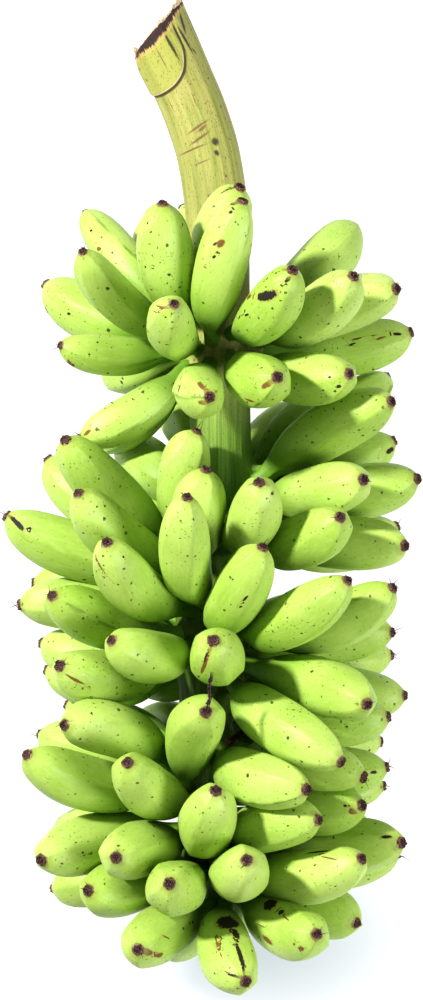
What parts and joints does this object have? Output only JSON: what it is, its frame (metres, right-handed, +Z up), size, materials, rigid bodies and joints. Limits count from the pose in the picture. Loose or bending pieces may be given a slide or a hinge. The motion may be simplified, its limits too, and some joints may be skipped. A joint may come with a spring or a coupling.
{
  "type": "bunch of bananas",
  "caption": "Whole green bunch of short plump bananas on its thick crooked stalk, lying on its back, fingers in hands round the stalk.",
  "frame": {"origin": "middle of the footprint, on the surface the bunch lies on", "axes": "+Z up from that surface, +Y along the stalk towards its cut end, +X to the right of the bunch seen from above with the cut end at the top"},
  "size_m": [0.289, 0.6774, 0.257],
  "materials": {
    "banana_skin": "satin unripe peel, lime green with yellower faces, dark tips and small brown marks",
    "stalk": "matt fibrous green stem, yellower towards the cut, with a dark fibrous cut end",
    "dried_flower": "matt dry brown, withered flower remnants and bract scars"
  },
  "bodies": {
    "root": {"stalk": "stalk", "hand_1_pair_01": "banana_skin", "hand_1_pair_02": "banana_skin", "hand_1_pair_03": "banana_skin", "hand_1_pair_04": "banana_skin", "hand_1_pair_05": "banana_skin", "hand_1_pair_06": "banana_skin", "hand_1_pair_07": "banana_skin", "hand_1_pair_08": "banana_skin", "hand_1_pair_09": "banana_skin", "hand_1_pair_10": "banana_skin", "hand_1_pair_11": "banana_skin", "hand_1_pair_12": "banana_skin", "hand_2_pair_01": "banana_skin", "hand_2_pair_02": "banana_skin", "hand_2_pair_03": "banana_skin", "hand_2_pair_04": "banana_skin", "hand_2_pair_05": "banana_skin", "hand_2_pair_06": "banana_skin", "hand_2_pair_07": "banana_skin", "hand_2_pair_08": "banana_skin", "hand_2_pair_09": "banana_skin", "hand_2_pair_10": "banana_skin", "hand_2_pair_11": "banana_skin", "hand_2_pair_12": "banana_skin", "hand_3_pair_01": "banana_skin", "hand_3_pair_02": "banana_skin", "hand_3_pair_03": "banana_skin", "hand_3_pair_04": "banana_skin", "hand_3_pair_05": "banana_skin", "hand_3_pair_06": "banana_skin", "hand_3_pair_07": "banana_skin", "hand_3_pair_08": "banana_skin", "hand_3_pair_09": "banana_skin", "hand_3_pair_10": "banana_skin", "hand_3_pair_11": "banana_skin", "hand_3_pair_12": "banana_skin", "hand_3_pair_13": "banana_skin", "hand_4_pair_01": "banana_skin", "hand_4_pair_02": "banana_skin", "hand_4_pair_03": "banana_skin", "hand_4_pair_04": "banana_skin", "hand_4_pair_05": "banana_skin", "hand_4_pair_06": "banana_skin", "hand_4_pair_07": "banana_skin", "hand_4_pair_08": "banana_skin", "hand_4_pair_09": "banana_skin", "hand_5_pair_01": "banana_skin", "hand_5_pair_02": "banana_skin", "hand_5_pair_03": "banana_skin", "hand_5_pair_04": "banana_skin", "hand_5_pair_05": "banana_skin", "hand_5_pair_06": "banana_skin", "hand_5_pair_07": "banana_skin", "hand_5_pair_08": "banana_skin", "hand_6_pair_01": "banana_skin", "hand_6_pair_02": "banana_skin", "hand_6_pair_03": "banana_skin"}
  },
  "joints": []
}
